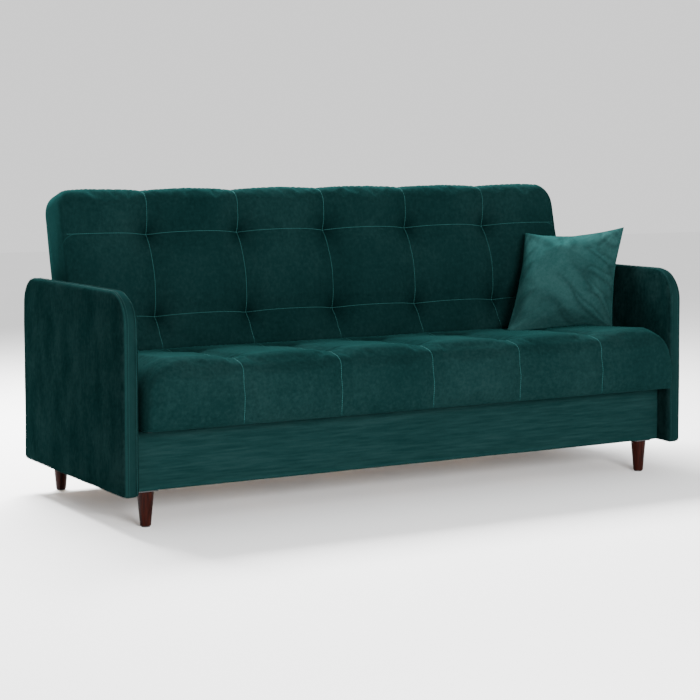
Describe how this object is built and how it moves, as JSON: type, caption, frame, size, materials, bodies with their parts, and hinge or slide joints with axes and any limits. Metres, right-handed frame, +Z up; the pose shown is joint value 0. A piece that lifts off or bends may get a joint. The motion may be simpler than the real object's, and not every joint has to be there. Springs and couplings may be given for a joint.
{
  "type": "click-clack sofa bed",
  "caption": "Click-clack sofa bed: reclining tufted back, lift-up seat over a bedding box, slim padded arms, tapered round legs and a loose cushion.",
  "frame": {"origin": "on the floor, under the middle of the sofa in its sitting position", "axes": "+X along the sofa, left to right seen from the front; +Y from the front to the back; +Z up"},
  "size_m": [2.022, 0.85, 0.9593],
  "materials": {
    "velvet": "deep petrol velvet with a soft sheen",
    "leg_wood": "dark mahogany stain, satin",
    "frame_wood": "planed pine",
    "board": "raw chipboard",
    "hardboard": "thin fibreboard",
    "hinge_steel": "black powder coat",
    "zinc_steel": "zinc plated",
    "spring_steel": "oiled spring wire",
    "nylon": "black nylon",
    "lining": "black spunbond",
    "felt": "grey felt"
  },
  "bodies": {
    "base": {"arm_band_left": "velvet", "arm_band_right": "velvet", "arm_bolts": "zinc_steel", "arm_core_left": "board", "arm_core_right": "board", "arm_inner_pad_left": "velvet", "arm_inner_pad_right": "velvet", "arm_outer_pad_left": "velvet", "arm_outer_pad_right": "velvet", "arm_spacers": "zinc_steel", "box_floor": "hardboard", "bracket_bolts": "zinc_steel", "corner_blocks": "frame_wood", "floor_battens": "frame_wood", "front_panel": "velvet", "hinge_bracket_left": "hinge_steel", "hinge_bracket_right": "hinge_steel", "leg_bolts": "zinc_steel", "leg_front_left": "leg_wood", "leg_front_right": "leg_wood", "leg_glides": "nylon", "leg_plates": "hinge_steel", "leg_rear_left": "leg_wood", "leg_rear_right": "leg_wood", "pawl_pins": "zinc_steel", "pivot_clips": "zinc_steel", "pivot_pins": "zinc_steel", "pivot_washers": "nylon", "rear_panel": "board", "rest_pads": "felt", "side_panel_left": "board", "side_panel_right": "board"},
    "seat": {"seat_pad": "velvet", "seat_end_rails": "frame_wood", "seat_side_rails": "frame_wood", "seat_cross_rails": "frame_wood", "seat_springs": "spring_steel", "seat_spring_clips": "zinc_steel", "seat_lining": "lining", "seat_arm_fasteners": "zinc_steel", "seat_hinge_arm_left": "hinge_steel", "seat_hinge_arm_right": "hinge_steel"},
    "back": {"back_pad": "velvet", "back_end_rails": "frame_wood", "back_side_rails": "frame_wood", "back_cross_rails": "frame_wood", "back_springs": "spring_steel", "back_spring_clips": "zinc_steel", "back_rear_cover": "lining", "back_arm_fasteners": "zinc_steel", "back_hinge_arm_left": "hinge_steel", "back_hinge_arm_right": "hinge_steel"},
    "pawl_l": {"pawl_left": "hinge_steel"},
    "pawl_r": {"pawl_right": "hinge_steel"},
    "loose_cushion": {"cushion": "velvet"}
  },
  "joints": [
    {"name": "seat_lift", "type": "hinge", "parent": "base", "child": "seat", "pos_m": [0, 0.149, 0.452], "axis": [-1, 0, 0], "range_deg": [0, 40], "deforming": ["cushion"]},
    {"name": "back_recline", "type": "hinge", "parent": "base", "child": "back", "pos_m": [0, 0.149, 0.452], "axis": [-1, 0, 0], "range_deg": [0, 76]},
    {"name": "pawl_left_click", "type": "hinge", "parent": "base", "child": "pawl_l", "pos_m": [0, 0.112, 0.4155], "axis": [1, 0, 0], "range_deg": [0, 8.5]},
    {"name": "pawl_right_click", "type": "hinge", "parent": "base", "child": "pawl_r", "pos_m": [0, 0.112, 0.4155], "axis": [1, 0, 0], "range_deg": [0, 8.5]},
    {"name": "cushion_lift_off", "type": "slide", "parent": "seat", "child": "loose_cushion", "axis": [0, 0, 1], "range_m": [0, 0.3]}
  ],
  "couplings": [
    {"joint": "pawl_right_click", "follows": "pawl_left_click", "ratio": 1}
  ]
}
